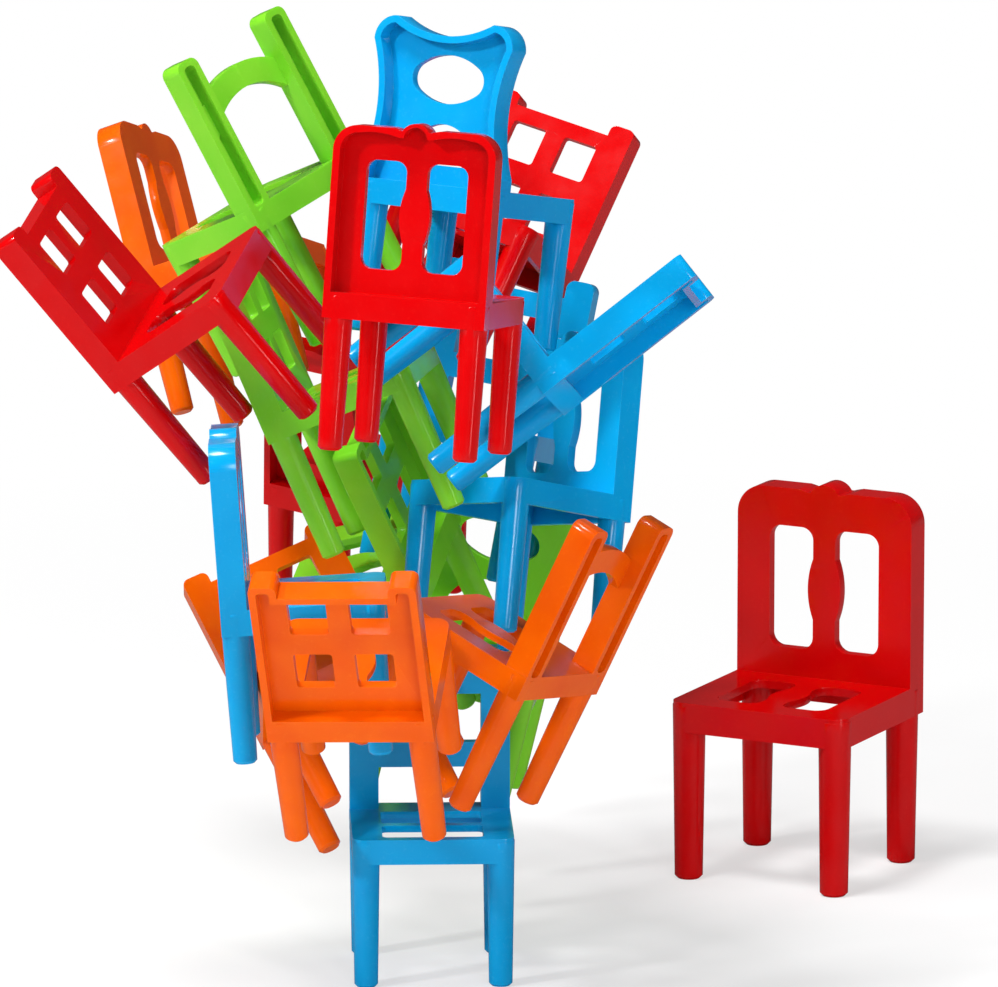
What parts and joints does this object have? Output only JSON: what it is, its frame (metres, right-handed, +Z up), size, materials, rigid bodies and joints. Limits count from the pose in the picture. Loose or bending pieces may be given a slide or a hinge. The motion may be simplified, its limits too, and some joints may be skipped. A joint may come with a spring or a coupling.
{
  "type": "stacking balance game",
  "caption": "Stacking balance game of small glossy plastic chairs hooked together in a leaning pile on one upright chair, with a spare chair beside it.",
  "frame": {"origin": "centre of the underside of the front left foot of the upright blue chair at the bottom of the pile, on the table", "axes": "+Z up, -Y towards the viewer and the front of the upright chair, +X to the viewer's right"},
  "size_m": [0.1739, 0.206, 0.1785],
  "materials": {
    "blue_plastic": "glossy moulded plastic",
    "red_plastic": "glossy moulded plastic",
    "orange_plastic": "glossy moulded plastic",
    "green_plastic": "glossy moulded plastic, slightly translucent"
  },
  "bodies": {
    "root": {"base_blue": "blue_plastic", "orange_front": "orange_plastic", "orange_lower_left": "orange_plastic", "orange_right": "orange_plastic", "blue_left": "blue_plastic", "dark_red": "red_plastic", "green_middle": "green_plastic", "green_left": "green_plastic", "green_lower_right": "green_plastic", "orange_upper_left": "orange_plastic", "red_upper_left": "red_plastic", "green_top": "green_plastic", "blue_top": "blue_plastic", "red_front": "red_plastic", "red_right": "red_plastic", "blue_slanting": "blue_plastic", "blue_middle": "blue_plastic", "blue_right": "blue_plastic", "lone_red": "red_plastic"}
  },
  "joints": []
}
